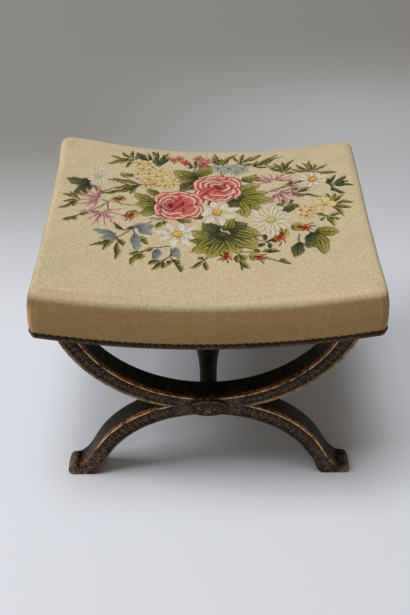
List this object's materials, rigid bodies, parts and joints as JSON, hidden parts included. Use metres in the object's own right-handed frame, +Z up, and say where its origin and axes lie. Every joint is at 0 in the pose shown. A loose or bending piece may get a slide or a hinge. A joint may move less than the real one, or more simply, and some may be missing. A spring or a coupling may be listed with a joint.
{
  "type": "stool",
  "caption": "Upholstered curule stool: carved X frames front and back, a turned stretcher between them and a dished needlepoint seat edged with nails.",
  "frame": {"origin": "on the floor, under the middle of the seat", "axes": "+X along the long side of the seat, +Y from the front frame to the back frame, +Z up"},
  "size_m": [0.5266, 0.4266, 0.4494],
  "materials": {
    "carved_wood": "worn near black stain over brown, with worn gilt edges",
    "beech": "bare, sawn",
    "jute": "coarse weave",
    "horsehair": "curled hair stuffing",
    "calico": "plain cotton weave",
    "needlepoint": "wool needlepoint with a floral bouquet on beige",
    "bronzed_brass": "dark bronzed, rubbed brighter on the domes",
    "bottom_cloth": "black cotton dust cloth"
  },
  "bodies": {
    "root": {"front_leg_left": "carved_wood", "front_leg_right": "carved_wood", "back_leg_left": "carved_wood", "back_leg_right": "carved_wood", "front_medallion": "carved_wood", "back_medallion": "carved_wood", "stretcher": "carved_wood", "front_arm_dowel_left": "beech", "front_arm_dowel_right": "beech", "back_arm_dowel_left": "beech", "back_arm_dowel_right": "beech", "front_rail": "beech", "back_rail": "beech", "left_rail": "beech", "right_rail": "beech", "front_left_corner_dowel_1": "beech", "front_left_corner_dowel_2": "beech", "front_right_corner_dowel_1": "beech", "front_right_corner_dowel_2": "beech", "back_left_corner_dowel_1": "beech", "back_left_corner_dowel_2": "beech", "back_right_corner_dowel_1": "beech", "back_right_corner_dowel_2": "beech", "front_left_corner_block": "beech", "front_right_corner_block": "beech", "back_left_corner_block": "beech", "back_right_corner_block": "beech", "webbing_strap_1": "jute", "webbing_strap_2": "jute", "webbing_strap_3": "jute", "webbing_strap_4": "jute", "webbing_strap_5": "jute", "webbing_strap_6": "jute", "hessian": "jute", "stuffing_pad": "horsehair", "calico_lining": "calico", "needlepoint_cover": "needlepoint", "front_nail_row": "bronzed_brass", "back_nail_row": "bronzed_brass", "left_nail_row": "bronzed_brass", "right_nail_row": "bronzed_brass", "bottom_cloth": "bottom_cloth"}
  },
  "joints": []
}
